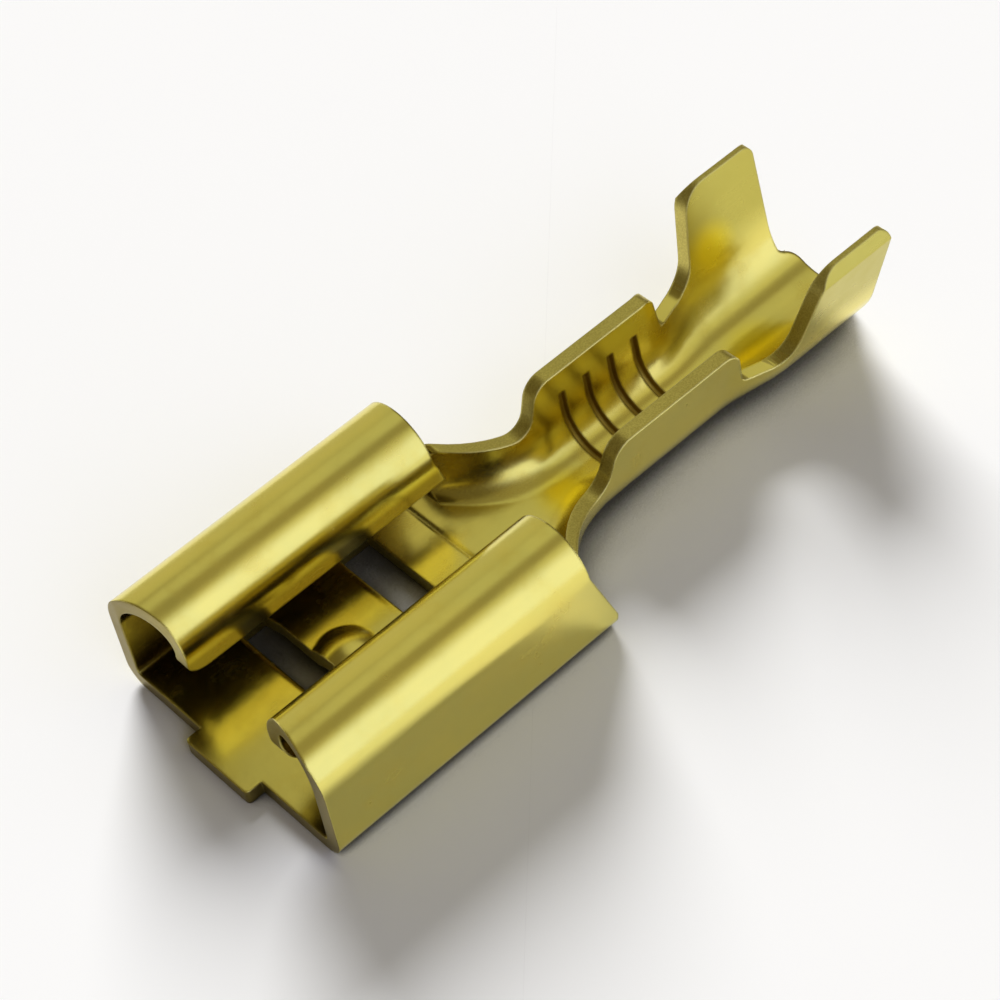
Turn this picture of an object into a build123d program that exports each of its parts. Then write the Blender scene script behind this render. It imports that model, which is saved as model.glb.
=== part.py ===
from build123d import *
import math
import os

# Female spade terminal, stamped and folded from one strip of brass, in millimetres.
# X runs from the mouth to the wire end, Y to the left, Z up from the underside of the floor.
# The origin is on the underside, in the middle of the length and the width.

sheet = 0.4                 # thickness of the strip

# The tab that the receptacle grips
tab_thickness = 0.8
tab_grip = 0.05             # how much tighter than the tab the spring bridge sits
tab_gap = 1.0               # clear height between the floor and the lips of the rolls

# Receptacle
receptacle_width = 7.6
receptacle_height = 3.4
receptacle_length = 8.5
floor_bend = 0.14           # inside radius between the floor and a wall
roll_radius = 1.18          # outside radius of a rolled edge
roll_turn = 195.0           # degrees that a roll turns from the wall to its lip
roll_sweep = 0.35           # how far a lip starts behind the mouth
lip_round = 0.65            # lead-in at the front corner of a lip
rear_foot = 0.6             # height of the upright foot of a wall's rear edge
rear_rake = 19.0            # degrees that the rear edge leans forward above its foot
rear_setback = 0.62         # how far the rolls end before the floor

# Slots and spring bridge in the floor of the receptacle
slot_start = 2.4            # mouth to the first slot
front_slot = 0.65           # length of each slot along X
rear_slot = 1.0
bridge_length = 2.25
side_rail = 0.75            # flat floor left between a slot and the bend
bridge_ramp = 0.7           # length over which the bridge climbs from a rail
slot_round = 0.24           # rolled-over edge in front of each slot
dimple_radius = 0.85        # detent that drops into the hole of the tab
dimple_height = 0.28
dimple_setback = 0.5        # front edge of the bridge to the middle of the dimple
stop_line_setback = 1.0     # rear edge of the floor to the coined stop line
stop_line_width = 0.24
stop_line_depth = 0.06
stop_line_margin = 0.35     # plain floor between the stop line and the bend

# Shear tab left at the mouth by the carrier strip
carrier_width = 2.2
carrier_length = 0.45
carrier_round = 0.12

# Neck: a channel that narrows from the floor to the wire barrel
neck_length = 2.75
neck_lead = 0.4             # how far the channel starts before the rear edges of the receptacle
neck_taper = 2.75           # how quickly the channel narrows behind its root
neck_floor = 3.6            # flat width at the root
neck_bend = 0.75            # inside radius at the root
neck_lean = 20.0            # degrees that the walls lean out at the root
neck_root_height = 1.69
neck_rise = 0.3             # length over which a wall rises at the root
neck_slope = 10.0           # degrees that the wall tops fall towards the barrel
neck_root_round = 0.25
neck_fillet = 0.6
neck_notch_round = 0.25     # inner corners of the openings between neck and receptacle
neck_stations = [0, 0.12, 0.27, 0.45, 0.7, 1]    # shares of the length with a section of their own

# Wire barrel
wire_length = 3.2           # straight stretch of the channel
wire_floor = 0.2
wire_bend = 0.98
wire_lean = 5.5
wire_height = 2.55
wire_front_reach = 0.75     # how far the walls reach before and behind the straight stretch
wire_rear_reach = 0.4
wire_front_rake = 0.42      # length over which the front edge of a wall slopes back
wire_rear_rake = 0.12       # length over which its rear edge slopes back
wire_front_round = 0.6
wire_rear_round = 0.3

# Serrations coined across the inside of the wire barrel
groove_count = 4
groove_pitch = 0.8
groove_width = 0.24
groove_side = 0.07          # width of each sloping side of a groove
groove_depth = 0.12
groove_overcut = 0.03       # how far a groove's cutter starts inside the hollow
groove_front = 0.26         # start of the straight stretch to the first groove
groove_margin = 0.65        # plain wall between the grooves and the top edge

# Flare and notch between the two barrels
flare_length = 1.95
flare_stations = [0, 0.2, 0.4, 0.6, 0.8, 1]     # shares of the length with a section of their own
notch_height = 1.45
notch_front_fillet = 0.2
notch_rear_fillet = 0.85

# Insulation barrel
grip_length = 3.1
grip_floor = 0.2
grip_bend = 1.5
grip_lean = 14.0
grip_height = 3.85
wing_front_rake = 0.62      # length over which the front edge of a wing slopes back
wing_rear_rake = 0.24       # length over which its rear edge slopes back
wing_front_round = 0.8
wing_rear_round = 0.3
wing_bevel = 0.26           # width and depth of the bevel along the outer top edge of a wing
wing_bevel_depth = 0.34

# Shear tongue left behind the wings by the carrier strip
tongue_length = 0.42
tongue_width = 2.3
tongue_fillet = 0.2
tongue_round = 0.35

# Places that follow from the sizes above
overall_length = carrier_length + receptacle_length + neck_length + wire_length + flare_length + grip_length
mouth_x = carrier_length - overall_length / 2
neck_x = mouth_x + receptacle_length
root_x = neck_x - neck_lead
wire_x = neck_x + neck_length
flare_x = wire_x + wire_length
grip_x = flare_x + flare_length
end_x = grip_x + grip_length
bridge_x = mouth_x + slot_start + front_slot
slots_end_x = bridge_x + bridge_length + rear_slot
outer_bend = floor_bend + sheet
slot_half = receptacle_width / 2 - outer_bend - side_rail
bridge_rise = tab_gap - tab_thickness + tab_grip
blank_height = max(grip_height, wire_height, neck_root_height) + sheet

neck_section = (neck_floor, neck_bend, neck_lean)
wire_section = (wire_floor, wire_bend, wire_lean)
grip_section = (grip_floor, grip_bend, grip_lean)


def cross_plane(x):
    # plane across the terminal at x, with its own x along Y and its own y along Z
    return Plane(origin=(x, 0, 0), x_dir=(0, 1, 0), z_dir=(1, 0, 0))


def on_circle(centre, radius, degrees):
    angle = math.radians(degrees)
    return (centre[0] + radius * math.cos(angle), centre[1] + radius * math.sin(angle))


def arc(centre, radius, start, end):
    middle = (start + end) / 2
    return ThreePointArc(*[on_circle(centre, radius, degrees) for degrees in (start, middle, end)])


def closed_face(pieces):
    # joins lines and arcs, given in order, into a face, with a straight line across each gap
    edges = []
    for piece, following in zip(pieces, pieces[1:] + pieces[:1]):
        edges.append(piece)
        if (piece @ 1 - following @ 0).length > 1e-6:
            edges.append(Line(piece @ 1, following @ 0))
    return make_face(edges)


def side_prism(points, radii, half_width):
    # closed outline in the XZ plane, with rounded corners, made solid across the terminal
    outline = FilletPolyline(*points, radius=radii, close=True)
    return extrude(Plane.XZ * make_face(outline), amount=half_width, both=True)


def receptacle_half_face():
    # floor, bend, wall and rolled edge on the left, as one band of sheet
    half_width = receptacle_width / 2
    bend_centre = (half_width - outer_bend, outer_bend)
    roll_centre = (half_width - roll_radius, receptacle_height - roll_radius)
    turn = math.radians(roll_turn)
    arc_end = on_circle(roll_centre, roll_radius, roll_turn)
    lip_length = (arc_end[1] - sheet - tab_gap) / -math.cos(turn)
    lip_end = (arc_end[0] - lip_length * math.sin(turn), arc_end[1] + lip_length * math.cos(turn))
    lip_back = (lip_end[0] - sheet * math.cos(turn), lip_end[1] - sheet * math.sin(turn))
    return closed_face([
        Line((0, 0), (bend_centre[0], 0)),
        arc(bend_centre, outer_bend, -90, 0),
        arc(roll_centre, roll_radius, 0, roll_turn),
        Line(lip_end, lip_back),
        arc(roll_centre, roll_radius - sheet, roll_turn, 0),
        arc(bend_centre, floor_bend, 0, -90),
        Line((bend_centre[0], sheet), (0, sheet)),
    ])


def raked_rear():
    # what is cut off the rear ends of the walls and rolls, so that they lean forward above the foot
    top = receptacle_height + sheet
    rear_x = neck_x - rear_setback
    knee = rear_foot + rear_setback / math.tan(math.radians(rear_rake))
    points = [(neck_x, rear_foot), (neck_x, top), (rear_x, top), (rear_x, knee)]
    return extrude(Plane.XZ * make_face(Polyline(*points, close=True)), amount=receptacle_width, both=True)


def swept_front():
    # sets the lip of the left roll back from the mouth and rounds its front corner
    outside = receptacle_width / 2 - sheet
    lip_y = receptacle_width / 2 - 2 * roll_radius
    inside = lip_y - sheet
    lip_x = mouth_x + roll_sweep
    lip_z = sheet + tab_gap
    points = [(mouth_x, outside), (mouth_x, inside), (lip_x, inside), (lip_x, lip_y + sheet)]
    wedge = extrude(make_face(Polyline(*points, close=True)), amount=receptacle_height)
    wedge = Pos(0, 0, lip_z - tab_gap / 2) * wedge
    corner = Pos(mouth_x, inside, lip_z) * Box(
        roll_sweep + lip_round, roll_radius + sheet, lip_round, align=(Align.MIN, Align.MIN, Align.MIN))
    core = Rot(90, 0, 0) * Cylinder(lip_round, 4 * roll_radius)
    core = Pos(lip_x + lip_round, inside, lip_z + lip_round) * core
    return wedge + (corner - core)


def bridge():
    # spring bridge across the window in the floor, with its rounded rear edge and its detent,
    # which is open towards the mouth
    flat_half = slot_half - bridge_ramp
    underside = [(-slot_half, 0), (-flat_half, bridge_rise), (flat_half, bridge_rise), (slot_half, 0)]
    topside = [(y, z + sheet) for y, z in reversed(underside)]
    band_face = make_face(Polyline(*underside, *topside, close=True))
    band = extrude(cross_plane(bridge_x) * band_face, amount=bridge_length)
    top = bridge_rise + sheet
    rear_edges = band.edges().filter_by(Axis.Y).group_by(Axis.X)[-1]
    band = fillet(rear_edges.sort_by(Axis.Z)[-1], slot_round)
    ball_radius = (dimple_radius ** 2 + dimple_height ** 2) / (2 * dimple_height)
    dimple_x = bridge_x + dimple_setback
    ball_centre = Pos(dimple_x, 0, top + dimple_height - ball_radius)
    keep = Pos(bridge_x, 0, bridge_rise) * Box(
        bridge_length, 2 * flat_half, 2 * sheet, align=(Align.MIN, Align.CENTER, Align.MIN))
    detent = (ball_centre * Sphere(ball_radius)) & keep
    return band + detent - ball_centre * Sphere(ball_radius - sheet)


def stop_line():
    # shallow coined line across the floor, where the end of the tab comes to rest
    middle = neck_x - stop_line_setback
    half = stop_line_width / 2
    points = [(middle - half, sheet), (middle, sheet - stop_line_depth), (middle + half, sheet)]
    reach = receptacle_width / 2 - outer_bend - stop_line_margin
    return extrude(Plane.XZ * make_face(Polyline(*points, close=True)), amount=reach, both=True)


def rear_openings():
    # where the receptacle's floor ends behind, between the feet of its walls
    reach = receptacle_width / 2 - outer_bend
    opening = Pos(root_x, 0, -sheet) * Box(
        2 * neck_lead, 2 * reach, 3 * sheet, align=(Align.MIN, Align.CENTER, Align.MIN))
    corners = opening.edges().filter_by(Axis.Z).group_by(Axis.X)[0]
    return fillet(corners, neck_notch_round)


def receptacle():
    half = extrude(cross_plane(mouth_x) * receptacle_half_face(), amount=receptacle_length)
    half -= swept_front()
    body = half + mirror(half, about=Plane.XZ)
    body -= raked_rear()
    body -= rear_openings()
    window_length = slots_end_x - mouth_x - slot_start
    window = Pos(mouth_x + slot_start, 0, 0) * Box(
        window_length, 2 * slot_half, sheet, align=(Align.MIN, Align.CENTER, Align.MIN))
    body -= window
    window_edges = body.edges().filter_by(Axis.Y).filter_by_position(
        Axis.X, mouth_x + slot_start, mouth_x + slot_start).filter_by_position(Axis.Z, sheet, sheet)
    body = fillet(window_edges, slot_round)
    body += bridge()
    return body - stop_line()


def carrier_stub():
    stub = Pos(mouth_x, 0, 0) * Box(
        carrier_length, carrier_width, sheet, align=(Align.MAX, Align.CENTER, Align.MIN))
    corners = stub.edges().filter_by(Axis.Z).group_by(Axis.X)[0]
    return fillet(corners, carrier_round)


def channel_face(x, section):
    # open channel across the terminal, taller than any wall that is cut from it
    floor, bend, lean = section
    half_floor = floor / 2
    outer = bend + sheet
    tilt = math.radians(lean)
    right = (half_floor, outer)
    left = (-half_floor, outer)
    outer_foot = on_circle(right, outer, -lean)
    run = (blank_height - outer_foot[1]) / math.cos(tilt)
    tip = (outer_foot[0] + run * math.sin(tilt), blank_height)
    tip_inside = (tip[0] - sheet * math.cos(tilt), tip[1] + sheet * math.sin(tilt))
    return cross_plane(x) * closed_face([
        Line((-half_floor, 0), (half_floor, 0)),
        arc(right, outer, -90, -lean),
        Line(tip, tip_inside),
        arc(right, bend, -lean, -90),
        Line((half_floor, sheet), (-half_floor, sheet)),
        arc(left, bend, -90, lean - 180),
        Line((-tip_inside[0], tip_inside[1]), (-tip[0], tip[1])),
        arc(left, outer, lean - 180, -90),
    ])


def mixed(first, second, share):
    return tuple(a + (b - a) * share for a, b in zip(first, second))


def neck():
    faces = []
    for share in neck_stations:
        section = mixed(wire_section, neck_section, (1 - share) ** neck_taper)
        faces.append(channel_face(root_x + share * (neck_lead + neck_length), section))
    return loft(faces)


def flare():
    faces = []
    for share in flare_stations:
        eased = share * share * (3 - 2 * share)
        section = mixed(wire_section, grip_section, eased)
        faces.append(channel_face(flare_x + share * flare_length, section))
    return loft(faces)


def barrel(x, section, length):
    return extrude(channel_face(x, section), amount=length)


def groove_face(x, depth):
    # the inside of the wire barrel below the margin, larger by the depth
    floor, bend, lean = wire_section
    centre_z = bend + sheet
    radius = bend + depth
    top = wire_height - groove_margin
    foot = on_circle((floor / 2, centre_z), radius, -lean)
    tip = (foot[0] + (top - foot[1]) * math.tan(math.radians(lean)), top)
    return cross_plane(x) * closed_face([
        Line((-floor / 2, centre_z - radius), (floor / 2, centre_z - radius)),
        arc((floor / 2, centre_z), radius, -90, -lean),
        Line(tip, (-tip[0], top)),
        arc((-floor / 2, centre_z), radius, lean - 180, -90),
    ])


def groove(x):
    # one coined groove with sloping sides
    return loft([
        groove_face(x, -groove_overcut),
        groove_face(x + groove_side, groove_depth),
        groove_face(x + groove_width - groove_side, groove_depth),
        groove_face(x + groove_width, -groove_overcut),
    ], ruled=True)


def above_the_walls():
    # everything over the top edges of neck, wire barrel, notch and wings, seen from the side
    wall_front = wire_x - wire_front_reach
    wall_rear = flare_x + wire_rear_reach
    fall = (wall_front - root_x - neck_rise) * math.tan(math.radians(neck_slope))
    wing_rear = end_x - tongue_length
    roof = blank_height + sheet
    corners = [
        ((root_x, sheet), 0),
        ((root_x + neck_rise, neck_root_height), neck_root_round),
        ((wall_front, neck_root_height - fall), neck_fillet),
        ((wall_front + wire_front_rake, wire_height), wire_front_round),
        ((wall_rear, wire_height), wire_rear_round),
        ((wall_rear + wire_rear_rake, notch_height), notch_front_fillet),
        ((grip_x, notch_height), notch_rear_fillet),
        ((grip_x + wing_front_rake, grip_height), wing_front_round),
        ((wing_rear + wing_rear_rake, grip_height), wing_rear_round),
        ((wing_rear, sheet), 0),
        ((wing_rear, -sheet), 0),
        ((end_x + sheet, -sheet), 0),
        ((end_x + sheet, roof), 0),
        ((root_x, roof), 0),
    ]
    points = [point for point, radius in corners]
    radii = [radius for point, radius in corners]
    return side_prism(points, radii, receptacle_width)


def tongue_column():
    # the tongue seen from above, with its fillets, which the shears leave standing behind the wings
    wing_rear = end_x - tongue_length
    half = tongue_width / 2
    points = [(wing_rear - sheet, -2 * half), (wing_rear, -2 * half), (wing_rear, -half), (end_x, -half)]
    points += [(x, -y) for x, y in reversed(points)]
    radii = [0, 0, tongue_fillet, tongue_round, tongue_round, tongue_fillet, 0, 0]
    outline = FilletPolyline(*points, radius=radii, close=True)
    return Pos(0, 0, -sheet) * extrude(make_face(outline), amount=grip_bend + 2 * sheet)


def wing_bevels():
    # bevel along the outer top edge of each wing
    floor, bend, lean = grip_section
    foot = on_circle((floor / 2, bend + sheet), bend + sheet, -lean)
    slope = math.tan(math.radians(lean))
    tip_y = foot[0] + (grip_height - foot[1]) * slope
    upper = (tip_y - wing_bevel, grip_height)
    lower = (tip_y - wing_bevel_depth * slope, grip_height - wing_bevel_depth)
    across = lower[0] - upper[0]
    points = [
        (upper[0] - across, upper[1] + wing_bevel_depth),
        (lower[0] + across, lower[1] - wing_bevel_depth),
        (tip_y + sheet, lower[1] - wing_bevel_depth),
        (tip_y + sheet, upper[1] + wing_bevel_depth),
    ]
    left = extrude(cross_plane(grip_x) * make_face(Polyline(*points, close=True)), amount=grip_length)
    return left + mirror(left, about=Plane.XZ)


def crimp():
    body = neck() + barrel(wire_x, wire_section, wire_length)
    body += flare() + barrel(grip_x, grip_section, grip_length)
    body -= above_the_walls() - tongue_column()
    body -= wing_bevels()
    for index in range(groove_count):
        body -= groove(wire_x + groove_front + index * groove_pitch)
    return body


def terminal():
    return receptacle() + carrier_stub() + crimp()


os.makedirs("parts", exist_ok=True)
export_step(terminal(), "parts/terminal.step")
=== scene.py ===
import math
import bpy
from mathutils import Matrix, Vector
from mathutils.bvhtree import BVHTree


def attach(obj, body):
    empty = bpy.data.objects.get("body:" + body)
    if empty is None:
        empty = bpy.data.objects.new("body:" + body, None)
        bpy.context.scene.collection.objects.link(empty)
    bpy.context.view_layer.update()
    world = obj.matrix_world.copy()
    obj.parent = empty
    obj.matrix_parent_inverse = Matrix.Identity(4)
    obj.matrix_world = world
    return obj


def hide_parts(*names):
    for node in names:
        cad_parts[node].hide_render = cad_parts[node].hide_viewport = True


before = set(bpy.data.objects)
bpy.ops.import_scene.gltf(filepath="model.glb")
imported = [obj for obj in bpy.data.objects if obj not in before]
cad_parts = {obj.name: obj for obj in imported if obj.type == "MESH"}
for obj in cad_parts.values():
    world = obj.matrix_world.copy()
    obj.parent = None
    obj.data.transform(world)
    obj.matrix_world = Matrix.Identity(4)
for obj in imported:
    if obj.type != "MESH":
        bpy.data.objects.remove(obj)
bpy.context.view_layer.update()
print("frame loaded:", sorted(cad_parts))

mm = 0.001


def direction(azimuth, elevation):
    # azimuth 0 is +X and 90 is +Y
    a = math.radians(azimuth)
    e = math.radians(elevation)
    return Vector((math.cos(a) * math.cos(e), math.sin(a) * math.cos(e), math.sin(e)))


def onlySelect(obj):
    bpy.ops.object.select_all(action="DESELECT")
    obj.select_set(True)
    bpy.context.view_layer.objects.active = obj


# shader maths: a wire is a socket, and sums on wires add Math nodes
class Wire:
    def __init__(self, tree, socket=None):
        self.tree = tree
        self.socket = socket

    def node(self, kind, settings=None, sockets=None, out=0):
        made = self.tree.nodes.new(kind)
        for name, value in (settings or {}).items():
            setattr(made, name, value)
        for name, value in (sockets or {}).items():
            target = made.inputs[name]
            if isinstance(value, Wire):
                self.tree.links.new(value.socket, target)
            else:
                target.default_value = value
        return Wire(self.tree, made.outputs[out] if made.outputs else None)

    def sibling(self, out):
        # another output of the same node
        return Wire(self.tree, self.socket.node.outputs[out])

    def maths(self, operation, first, second=0.0):
        return self.node("ShaderNodeMath", {"operation": operation}, {0: first, 1: second})

    def __add__(self, other):
        return self.maths("ADD", self, other)

    def __radd__(self, other):
        return self.maths("ADD", other, self)

    def __sub__(self, other):
        return self.maths("SUBTRACT", self, other)

    def __rsub__(self, other):
        return self.maths("SUBTRACT", other, self)

    def __mul__(self, other):
        return self.maths("MULTIPLY", self, other)

    def __rmul__(self, other):
        return self.maths("MULTIPLY", other, self)

    def between(self, low, high):
        # 0 below low, 1 above high, a soft step between them
        return self.node("ShaderNodeMapRange", {"interpolation_type": "SMOOTHSTEP"},
                         {"Value": self, "From Min": low, "From Max": high})

    def betweenMm(self, ends):
        return self.between(ends[0] * mm, ends[1] * mm)


def mixColour(start, amount, first, second):
    settings = {"data_type": "RGBA", "blend_type": "MIX"}
    return start.node("ShaderNodeMix", settings, {0: amount, 6: first, 7: second}, out=2)


cameraSettings = {
    "place": (-25.686, -35.574, 51.199),  # mm
    "turn": (40.6232, 7.1133, -42.9648),  # degrees
    "lens": 102.174,  # for a sensor 36 wide
    "sensor": 36,
    "clip": (0.001, 10),  # m
}

camData = bpy.data.cameras.new("photoCamera")
cam = bpy.data.objects.new("photoCamera", camData)
bpy.context.scene.collection.objects.link(cam)
cam.location = Vector(cameraSettings["place"]) * mm
cam.rotation_euler = [math.radians(a) for a in cameraSettings["turn"]]
camData.lens = cameraSettings["lens"]
camData.sensor_width = cameraSettings["sensor"]
camData.clip_start, camData.clip_end = cameraSettings["clip"]
bpy.context.scene.camera = cam
print("camera set")


terminalSettings = {
    "mergeDistance": 0.0005,  # mm
    "flatAngle": 0.6,  # degrees, triangles flatter than this join into one face
    "smoothAngle": 40,  # degrees
    "rayStart": 0.002,  # mm under the face
    "throughSheet": 0.56,  # mm, the strip is 0.4 thick, so a longer way in means a sheared edge
    "throughGroove": 0.33,  # mm, what is left of the strip under a serration
    "serrated": (1.8, 4.8, 1.3, 2.0),  # mm, start and end along X, half width and top
    "grooveSide": 0.3,  # share of X in the normal of a serration's side
    "normalWeight": 100,
}


def copyOfNode(node, name):
    made = node.copy()
    made.data = node.data.copy()
    made.name = name
    made.data.name = name
    made.parent = None
    for key in list(made.keys()):
        del made[key]
    bpy.context.scene.collection.objects.link(made)
    return made


def cleanMesh(obj, settings):
    onlySelect(obj)
    bpy.ops.mesh.customdata_custom_splitnormals_clear()
    bpy.ops.object.mode_set(mode="EDIT")
    bpy.ops.mesh.select_all(action="SELECT")
    bpy.ops.mesh.remove_doubles(threshold=settings["mergeDistance"] * mm)
    bpy.ops.mesh.dissolve_limited(angle_limit=math.radians(settings["flatAngle"]))
    bpy.ops.object.mode_set(mode="OBJECT")


def markFaces(obj, settings):
    # a ray sent inward from a face of the strip meets the other side after one thickness
    mesh = obj.data
    places = [v.co for v in mesh.vertices]
    tree = BVHTree.FromPolygons(places, [p.vertices for p in mesh.polygons])
    mesh.calc_loop_triangles()
    largest = {}  # a bent face's own centre can lie outside it, so its largest triangle stands for it
    for triangle in mesh.loop_triangles:
        best = largest.get(triangle.polygon_index)
        if best is None or triangle.area > best.area:
            largest[triangle.polygon_index] = triangle
    sheared = mesh.attributes.new("shearedEdge", "FLOAT", "FACE")
    coined = mesh.attributes.new("serration", "FLOAT", "FACE")
    front, rear, half, top = [value * mm for value in settings["serrated"]]
    shearedCount = 0
    coinedCount = 0
    for poly in mesh.polygons:
        corners = [places[i] for i in largest[poly.index].vertices]
        middle = sum(corners, Vector()) / 3
        hit = tree.ray_cast(middle - poly.normal * settings["rayStart"] * mm, -poly.normal)
        way = hit[3] if hit[0] else 1.0
        inBarrel = front < middle.x < rear and abs(middle.y) < half and middle.z < top
        steep = abs(poly.normal.x) > settings["grooveSide"]
        groove = inBarrel and (steep or way < settings["throughGroove"] * mm)
        edge = way > settings["throughSheet"] * mm and not groove
        coined.data[poly.index].value = float(groove)
        sheared.data[poly.index].value = float(edge)
        shearedCount += edge
        coinedCount += groove
    print("sheared faces:", shearedCount, "serration faces:", coinedCount, "of", len(mesh.polygons))


def smoothShading(obj, settings):
    onlySelect(obj)
    bpy.ops.object.shade_smooth_by_angle(angle=math.radians(settings["smoothAngle"]))
    even = obj.modifiers.new("evenNormals", "WEIGHTED_NORMAL")
    even.keep_sharp = True
    even.weight = settings["normalWeight"]
    bpy.ops.object.modifier_apply(modifier=even.name)


terminal = copyOfNode(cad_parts["terminal"], "foldedTerminal")
cleanMesh(terminal, terminalSettings)
markFaces(terminal, terminalSettings)
smoothShading(terminal, terminalSettings)
print("terminal mesh:", len(terminal.data.polygons), "faces")


brassSettings = {
    "gold": (0.86, 0.745, 0.18),  # colour of the bright strip
    "olive": (0.79, 0.71, 0.185),
    "amber": (0.84, 0.69, 0.135),
    "sheared": (0.73, 0.64, 0.185),
    "torn": (0.58, 0.49, 0.12),  # the part of a sheared edge that broke
    "mouthEdgeShade": (0.19, 0.14, 0.035),  # painted shade: sheared edges round the mouth, darkened
    "worn": (0.90, 0.83, 0.36),  # rounded rims, rubbed bright
    "dirt": (0.16, 0.11, 0.03),
    "grooveShade": (0.32, 0.205, 0.03),  # painted shade in the serrations
    "hollowTarnishAndShade": (0.62, 0.43, 0.04),  # partly brown tarnish, partly painted shade and a painted golden glow of light bounced in the hollows
    "shadeInRolls": (0.13, 0.085, 0.015),  # painted shade, nearly black inside the rolls
    "bouncedGlow": (0.97, 0.77, 0.03),  # painted glow, golden spots of light bounced between the walls
    "wingTipShade": (0.51, 0.445, 0.085),  # painted shade, darker and duller tips of the wings
    "hollowReach": 5.0,  # mm
    "rollsFrom": (2.2, 3.1),  # mm to either side, where the rolls shut the inside in
    "mouthTo": (-9.5, -8.6),  # mm along X, where the dark edges of the mouth fade
    "darkWingTipsFrom": (6.2, 7.2),  # mm along X
    "darkWingTipsAbove": (1.2, 2.4),  # mm
    "glowSpots": [  # mm, place and reach
        ((7.74, 1.67, 2.01), 1.0),
        ((7.2, -0.4, 0.41), 1.2),
        ((0.8, -0.2, 0.4), 1.0),
    ],
    "edgeRadius": 0.09,  # mm, rolled-over rim of every edge
    "roughness": 0.17,
    # waves per metre
    "grainLength": 150, "grainWidth": 6500,  # along and across the rolling direction
    "peelScale": 3800, "cloudScale": 330, "smudgeScale": 900, "tearScale": 24000, "speckScale": 820,
    # heights in mm
    "grainBump": 0.0005, "peelBump": 0.0015, "tearBump": 0.0016,
}


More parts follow.
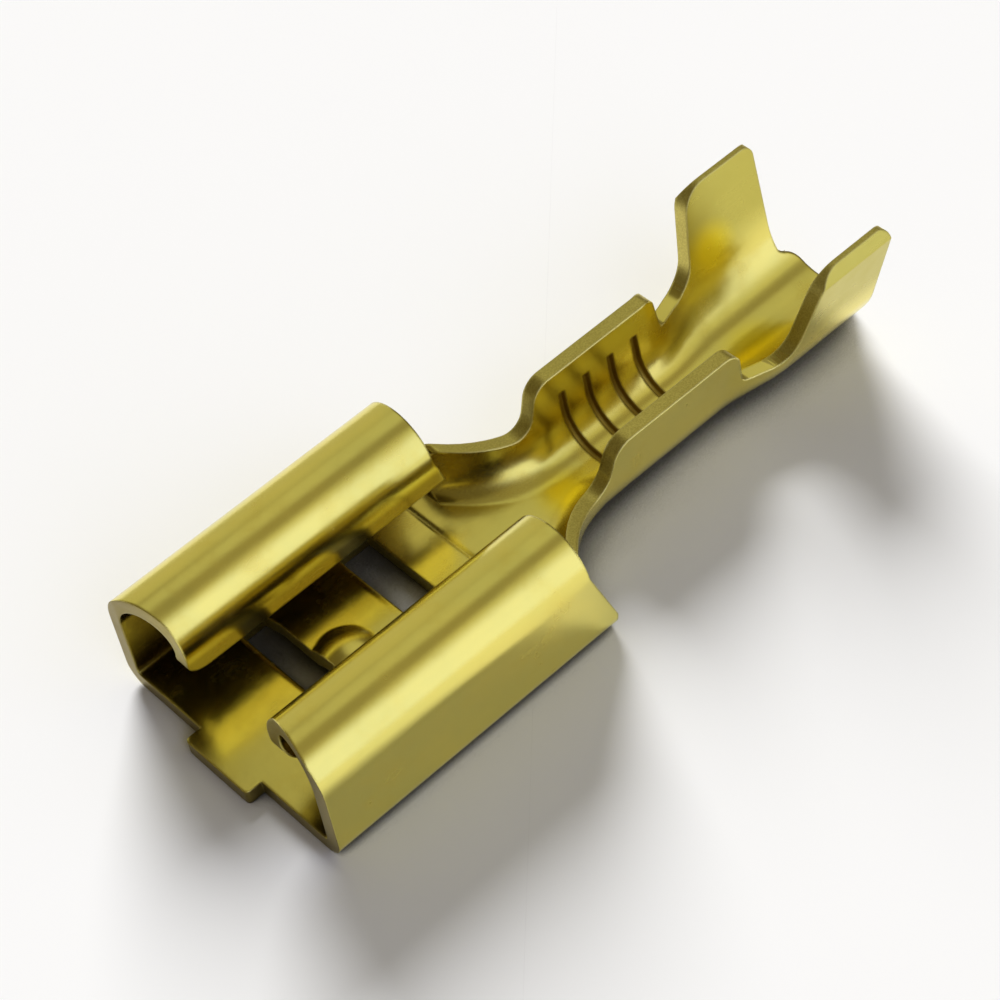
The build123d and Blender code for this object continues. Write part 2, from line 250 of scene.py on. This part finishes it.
def brassMaterial(settings):
    material = bpy.data.materials.new("brassStrip")
    material.use_nodes = True
    tree = material.node_tree
    tree.nodes.clear()
    wire = Wire(tree)

    def colour(name):
        return (*settings[name], 1)

    def noise(vector, scale, detail, rough):
        return wire.node("ShaderNodeTexNoise", None, {
            "Vector": vector, "Scale": scale, "Detail": detail, "Roughness": rough})

    def faceMark(name):
        return wire.node("ShaderNodeAttribute", {"attribute_name": name}, None, out=2)

    place = wire.node("ShaderNodeTexCoord", None, None, out=3)
    along = wire.node("ShaderNodeSeparateXYZ", None, {"Vector": place})
    across = along.sibling(1)
    height = along.sibling(2)
    sheared = faceMark("shearedEdge")
    coined = faceMark("serration")

    # rims: how far the rounded normal turns away from the face
    rim = wire.node("ShaderNodeBevel", {"samples": 6}, {"Radius": settings["edgeRadius"] * mm})
    facing = wire.node("ShaderNodeNewGeometry", None, None, out=1)
    turn = wire.node("ShaderNodeVectorMath", {"operation": "DOT_PRODUCT"}, {0: rim, 1: facing}, out=1)
    rounded = (1 - turn).between(0.02, 0.25)

    # rolling grain of the strip, which runs along the terminal
    stretched = wire.node("ShaderNodeMapping", {"vector_type": "POINT"}, {
        "Vector": place, "Scale": (settings["grainLength"], settings["grainWidth"], settings["grainWidth"])})
    grain = noise(stretched, 1.0, 1.0, 0.5)
    peel = noise(place, settings["peelScale"], 2.0, 0.5)  # faint orange peel from the folding
    cloud = noise(place, settings["cloudScale"], 4.0, 0.55)  # patches of tarnish
    smudge = noise(place, settings["smudgeScale"], 3.0, 0.6)
    tear = noise(place, settings["tearScale"], 3.0, 0.65)  # torn grain of the sheared edges

    strip = mixColour(wire, cloud.between(0.35, 0.62), colour("olive"), colour("gold"))
    strip = mixColour(wire, smudge.between(0.5, 0.75) * 0.5, strip, colour("amber"))
    strip = mixColour(wire, grain.between(0.3, 0.75) * 0.16, strip, colour("olive"))

    # tarnish and painted shade where the folded strip shuts itself in
    openness = wire.node("ShaderNodeAmbientOcclusion", {"samples": 8, "only_local": True}, {
        "Distance": settings["hollowReach"] * mm}, out=1)
    closed = 1 - openness
    hollowTarnishAndShade = closed.between(0.3, 0.85)
    strip = mixColour(wire, hollowTarnishAndShade * (0.35 + 0.3 * smudge), strip, colour("hollowTarnishAndShade"))
    # painted shade: the insides of the rolls are coloured nearly black
    shadeInRolls = closed.between(0.2, 0.45) * wire.maths("ABSOLUTE", across).betweenMm(settings["rollsFrom"])
    strip = mixColour(wire, shadeInRolls * (0.8 + 0.2 * smudge), strip, colour("shadeInRolls"))

    # painted shade: the tops of the wings are darkened, and made a little rougher
    darkWingTips = along.betweenMm(settings["darkWingTipsFrom"]) * height.betweenMm(settings["darkWingTipsAbove"])
    strip = mixColour(wire, darkWingTips * (0.65 + 0.35 * cloud), strip, colour("wingTipShade"))

    inside = closed.between(0.08, 0.25)  # keeps the painted glow off the outside
    # painted glow: golden spots where light bounces between the walls of the hollows
    for centre, reach in settings["glowSpots"]:
        far = wire.node("ShaderNodeVectorMath", {"operation": "DISTANCE"}, {
            0: place, 1: [c * mm for c in centre]}, out=1)
        near = 1 - far.betweenMm((0.2 * reach, reach))
        strip = mixColour(wire, 0.9 * near * inside, strip, colour("bouncedGlow"))

    # a few specks of dirt
    cells = wire.node("ShaderNodeTexVoronoi", {"feature": "F1"}, {
        "Vector": place, "Scale": settings["speckScale"]})
    chance = wire.node("ShaderNodeSeparateColor", None, {"Color": cells.sibling(1)})
    speck = (1 - cells.between(0.015, 0.06)) * chance.between(0.84, 0.87)
    strip = mixColour(wire, speck * 0.6, strip, colour("dirt"))
    # painted shade: the serration faces are coloured dark brown
    strip = mixColour(wire, coined * (0.6 + 0.3 * smudge), strip, colour("grooveShade"))

    edge = mixColour(wire, tear.between(0.35, 0.65), colour("torn"), colour("sheared"))
    # painted shade: the sheared edges round the mouth go dark, and their rubbed rims fade there
    mouth = 1 - along.betweenMm(settings["mouthTo"])
    edge = mixColour(wire, mouth * (0.75 + 0.2 * cloud), edge, colour("mouthEdgeShade"))
    surface = mixColour(wire, sheared, strip, edge)
    rubbed = rounded * (0.35 + 0.4 * smudge) * (1 - 0.8 * mouth)
    surface = mixColour(wire, rubbed, surface, colour("worn"))

    rough = settings["roughness"] + 0.10 * smudge.between(0.4, 0.8) + 0.05 * grain + 0.3 * speck
    rough = rough + 0.06 * hollowTarnishAndShade + 0.08 * darkWingTips + 0.15 * coined
    rough = rough + sheared * (0.12 + 0.12 * tear) + rounded * 0.06

    relief = settings["grainBump"] * mm * grain + settings["peelBump"] * mm * peel
    relief = relief + sheared * tear * (settings["tearBump"] * mm)
    bumped = wire.node("ShaderNodeBump", None, {
        "Strength": 1.0, "Distance": 1.0, "Height": relief, "Normal": rim})

    shader = wire.node("ShaderNodeBsdfPrincipled", None, {
        "Base Color": surface, "Metallic": 1.0, "Roughness": rough, "Normal": bumped})
    wire.node("ShaderNodeOutputMaterial", None, {"Surface": shader})
    return material


terminal.data.materials.clear()
terminal.data.materials.append(brassMaterial(brassSettings))
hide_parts("terminal")
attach(terminal, "root")
print("terminal dressed")


floorSettings = {
    "size": 4.0,  # m
    "drop": 0.02,  # mm
    "colour": (0.895, 0.90, 0.91),
    "shade": (0.10, 0.097, 0.092),  # painted shadow, where the terminal shuts the floor in
    "shadeReach": 6.0,  # mm
    "shadeFrom": (0.28, 0.5),  # share of the sky that the floor sees
    "roughness": 0.9,
}


def floorLook(settings):
    material = bpy.data.materials.new("paleFloor")
    material.use_nodes = True
    material.node_tree.nodes.clear()
    wire = Wire(material.node_tree)
    sky = wire.node("ShaderNodeAmbientOcclusion", {"samples": 8}, {
        "Distance": settings["shadeReach"] * mm}, out=1)
    # painted shadow: the floor's colour goes dark where the terminal shuts it in, as under the slots
    floorColourWithShadow = mixColour(wire, sky.between(*settings["shadeFrom"]),
                     (*settings["shade"], 1), (*settings["colour"], 1))
    shader = wire.node("ShaderNodeBsdfPrincipled", None, {
        "Base Color": floorColourWithShadow, "Roughness": settings["roughness"], "Specular IOR Level": 0.0})
    wire.node("ShaderNodeOutputMaterial", None, {"Surface": shader})
    return material


bpy.ops.object.select_all(action="DESELECT")
bpy.ops.mesh.primitive_plane_add(size=floorSettings["size"], location=(0, 0, -floorSettings["drop"] * mm))
floor = bpy.context.object
floor.name = "paleFloor"
floor.data.materials.append(floorLook(floorSettings))
print("floor laid")


lightSettings = {
    "keyFrom": (58, 26), "keyAngle": 30, "keyStrength": 5.2,
    "room": (0.13, 0.105, 0.055),
    "patches": [  # soft bright patches of the room: toward, inside and outside half angle, colour
        ((-30, 66), 20, 40, (0.32, 0.285, 0.19)),
        ((-46, 47), 7, 19, (0.68, 0.66, 0.50)),
        ((36, 56), 12, 22, (0.57, 0.555, 0.43)),
        ((64, 34), 10, 20, (0.53, 0.505, 0.37)),
        ((74, 6), 24, 42, (0.55, 0.52, 0.38)),
        ((-80, 16), 24, 47, (1.07, 1.12, 1.5)),
    ],
}


def studioWorld(settings):
    world = bpy.data.worlds.new("studioRoom")
    bpy.context.scene.world = world
    world.use_nodes = True
    world.node_tree.nodes.clear()
    wire = Wire(world.node_tree)
    look = wire.node("ShaderNodeTexCoord")
    room = (*settings["room"], 1)
    for aim, inside, outside, colour in settings["patches"]:
        toward = wire.node("ShaderNodeVectorMath", {"operation": "DOT_PRODUCT"}, {
            0: look, 1: direction(*aim)}, out=1)
        spot = toward.between(math.cos(math.radians(outside)), math.cos(math.radians(inside)))
        room = mixColour(wire, spot, room, (*colour, 1))
    background = wire.node("ShaderNodeBackground", None, {"Color": room, "Strength": 1.0})
    wire.node("ShaderNodeOutputWorld", None, {"Surface": background})


def keyLamp(settings):
    data = bpy.data.lights.new("keyLamp", "SUN")
    data.energy = settings["keyStrength"]
    data.angle = math.radians(settings["keyAngle"])
    lamp = bpy.data.objects.new("keyLamp", data)
    bpy.context.scene.collection.objects.link(lamp)
    lamp.visible_glossy = False  # the metal mirrors the room and the floor, not the lamp's disc
    lamp.rotation_euler = direction(*settings["keyFrom"]).to_track_quat("Z", "Y").to_euler()


studioWorld(lightSettings)
keyLamp(lightSettings)
bpy.context.scene.view_settings.view_transform = "Standard"
print("lights set")
